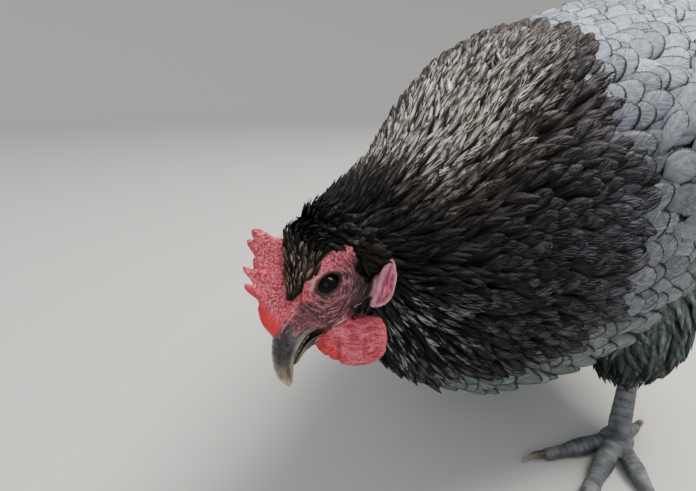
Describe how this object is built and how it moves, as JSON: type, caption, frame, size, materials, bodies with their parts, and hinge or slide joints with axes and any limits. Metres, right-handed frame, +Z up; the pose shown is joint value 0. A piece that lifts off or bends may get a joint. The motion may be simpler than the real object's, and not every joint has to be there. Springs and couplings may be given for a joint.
{
  "type": "chicken",
  "caption": "Life-size laced hen grazing with her head low: round feathered body, small single comb, wattles, folded wings, raised tail and bare legs.",
  "frame": {"origin": "on the floor, under the middle of the hen's box", "axes": "+Z up; the hen faces -Y, its left side is +X and its tail points to +Y"},
  "size_m": [0.219, 0.4246, 0.355],
  "materials": {
    "cape_feather": "soft sheen of dark hackle feathers",
    "body_feather": "soft matt laced feathers",
    "down_feather": "matt, loose fluff",
    "face_skin": "fine wrinkled bare skin",
    "red_skin": "satin, pebbled bare skin",
    "horn": "satin horn",
    "leg_scale": "satin scales",
    "eye": "wet gloss"
  },
  "bodies": {
    "root": {"neck": "cape_feather", "back": "body_feather", "breast": "body_feather", "saddle": "body_feather", "belly": "down_feather", "rump": "body_feather", "tail_left": "body_feather", "tail_right": "body_feather", "head": "face_skin", "upper_beak": "horn", "lower_beak": "horn", "comb": "red_skin", "eye_left": "eye", "wattle_left": "red_skin", "earlobe_left": "red_skin", "wing_bow_left": "body_feather", "wing_secondaries_left": "body_feather", "wing_primaries_left": "body_feather", "thigh_left": "down_feather", "shank_left": "leg_scale", "hock_left": "leg_scale", "foot_pad_left": "leg_scale", "toe_inner_left": "leg_scale", "claw_inner_left": "horn", "toe_middle_left": "leg_scale", "claw_middle_left": "horn", "toe_outer_left": "leg_scale", "claw_outer_left": "horn", "toe_hind_left": "leg_scale", "claw_hind_left": "horn", "eye_right": "eye", "wattle_right": "red_skin", "earlobe_right": "red_skin", "wing_bow_right": "body_feather", "wing_secondaries_right": "body_feather", "wing_primaries_right": "body_feather", "thigh_right": "down_feather", "shank_right": "leg_scale", "hock_right": "leg_scale", "foot_pad_right": "leg_scale", "toe_inner_right": "leg_scale", "claw_inner_right": "horn", "toe_middle_right": "leg_scale", "claw_middle_right": "horn", "toe_outer_right": "leg_scale", "claw_outer_right": "horn", "toe_hind_right": "leg_scale", "claw_hind_right": "horn"}
  },
  "joints": []
}
